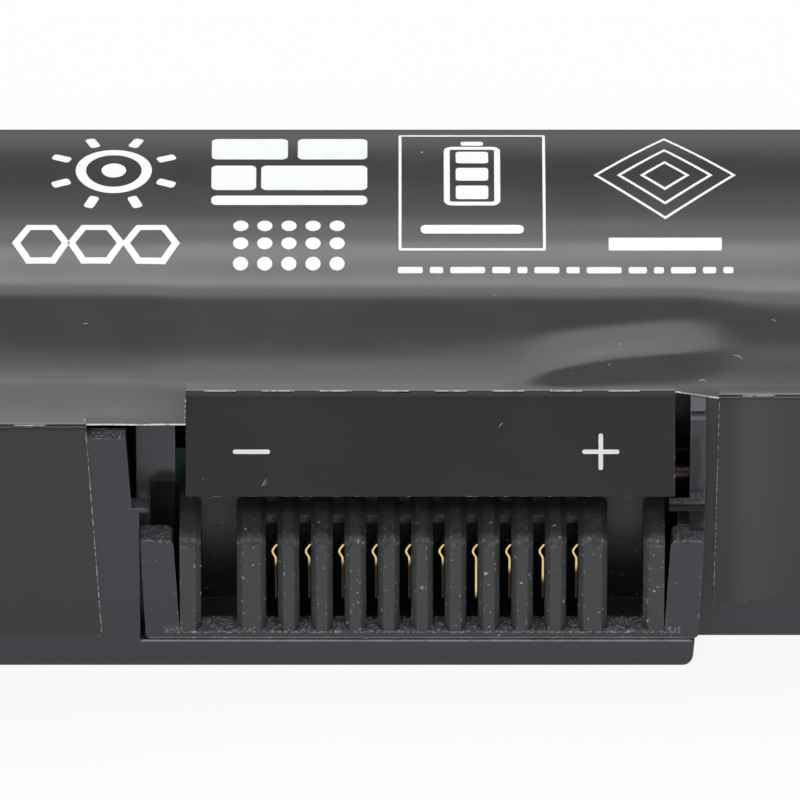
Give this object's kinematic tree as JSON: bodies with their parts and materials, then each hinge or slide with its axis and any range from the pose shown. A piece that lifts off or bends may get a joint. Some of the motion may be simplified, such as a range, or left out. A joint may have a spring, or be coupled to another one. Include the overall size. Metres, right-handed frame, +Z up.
{
  "type": "laptop battery",
  "caption": "Slim removable battery pack: round cells in a row in a moulded tray, closed by a folded film, with a slotted blade connector in its stepped front.",
  "frame": {"origin": "middle of the underside", "axes": "+X along the pack, to the right when the connector faces the viewer; +Y from the connector side to the back; +Z up, from the underside to the film"},
  "size_m": [0.27, 0.0284, 0.02],
  "materials": {
    "tray_plastic": "fine satin, moulded black plastic",
    "connector_plastic": "satin moulded black plastic with dust",
    "film": "glossy printed black film",
    "board": "green solder mask",
    "chip": "black moulding compound with tinned legs",
    "ceramic": "tan ceramic",
    "contact_metal": "gold-plated spring strip",
    "nickel": "rolled nickel strip",
    "sleeve": "shrunk sleeve",
    "paper": "stiff insulating paper",
    "foam": "soft foam",
    "red_lead": "red insulation",
    "black_lead": "black insulation",
    "sense_wire": "yellow insulation"
  },
  "bodies": {
    "root": {"bottom_tray": "tray_plastic", "connector_frame": "tray_plastic", "connector_body": "connector_plastic", "label_film": "film", "circuit_board": "board", "gauge_chip": "chip", "protection_chip": "chip", "charge_mosfet": "chip", "discharge_mosfet": "chip", "sense_resistor": "chip", "fuse": "ceramic", "capacitors": "ceramic", "thermistor": "chip", "insulation_sheet": "paper", "positive_tab": "nickel", "negative_tab": "nickel", "positive_lead": "red_lead", "negative_lead": "black_lead", "contact_1": "contact_metal", "contact_2": "contact_metal", "contact_3": "contact_metal", "contact_4": "contact_metal", "contact_5": "contact_metal", "contact_6": "contact_metal", "contact_7": "contact_metal", "contact_8": "contact_metal", "contact_9": "contact_metal", "contact_10": "contact_metal", "cell_1": "sleeve", "insulator_ring_1": "paper", "cell_pad_1": "foam", "cell_2": "sleeve", "insulator_ring_2": "paper", "cell_pad_2": "foam", "cell_3": "sleeve", "insulator_ring_3": "paper", "cell_pad_3": "foam", "cell_4": "sleeve", "insulator_ring_4": "paper", "cell_pad_4": "foam", "nickel_link_1": "nickel", "sense_lead_1": "sense_wire", "nickel_link_2": "nickel", "sense_lead_2": "sense_wire", "nickel_link_3": "nickel", "sense_lead_3": "sense_wire"}
  },
  "joints": []
}
